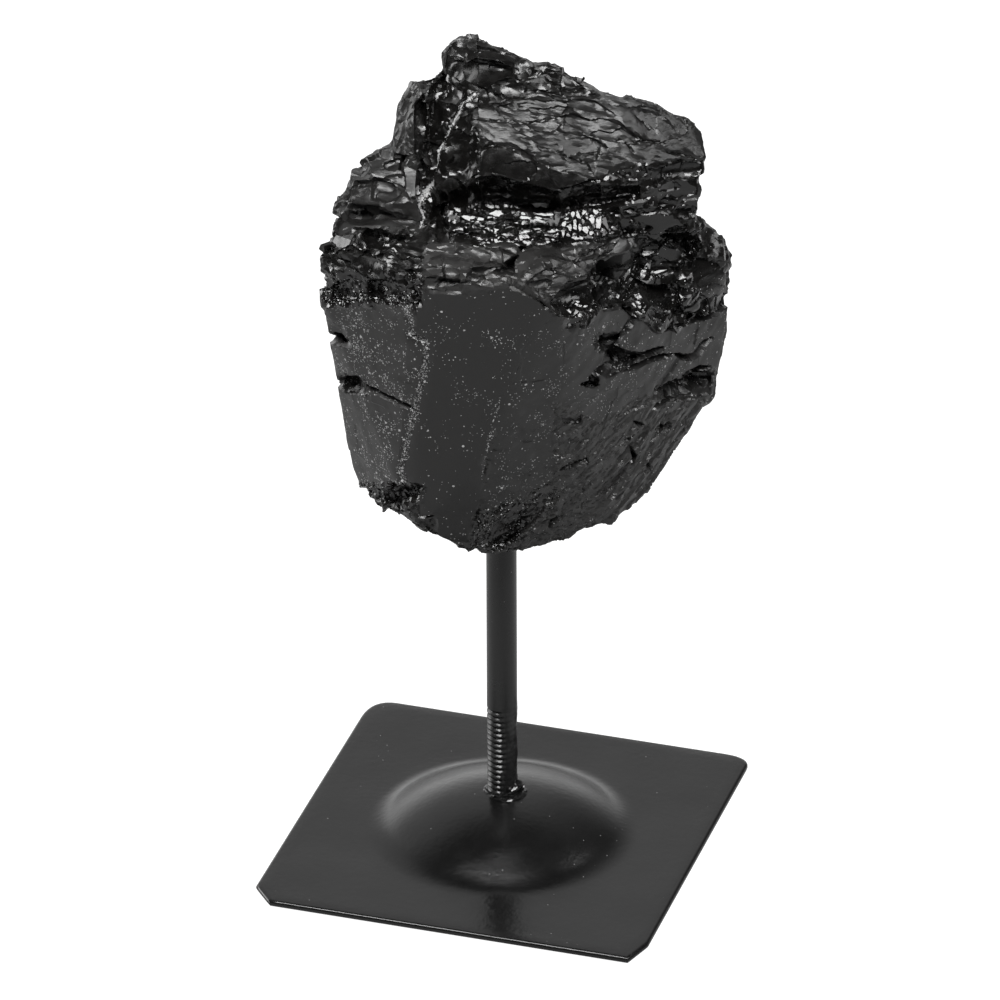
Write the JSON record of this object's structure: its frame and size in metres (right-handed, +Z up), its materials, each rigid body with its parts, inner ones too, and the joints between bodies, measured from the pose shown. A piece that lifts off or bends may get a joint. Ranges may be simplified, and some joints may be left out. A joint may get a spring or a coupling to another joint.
{
  "type": "black tourmaline specimen on a pin stand",
  "caption": "Rough black tourmaline with flat cleavage faces and broken ledges, mounted on an upright steel pin with a square domed base.",
  "frame": {"origin": "on the surface the stand rests on, under the middle of the square plate", "axes": "+X along the plate's front edge, +Y towards the back, +Z up along the rod"},
  "size_m": [0.085, 0.085, 0.1859],
  "materials": {
    "tourmaline": "gloss",
    "rod_paint": "satin",
    "plate_paint": "satin",
    "weld_paint": "satin"
  },
  "bodies": {
    "root": {"tourmaline": "tourmaline", "rod": "rod_paint", "base_plate": "plate_paint", "weld_bead": "weld_paint"}
  },
  "joints": []
}
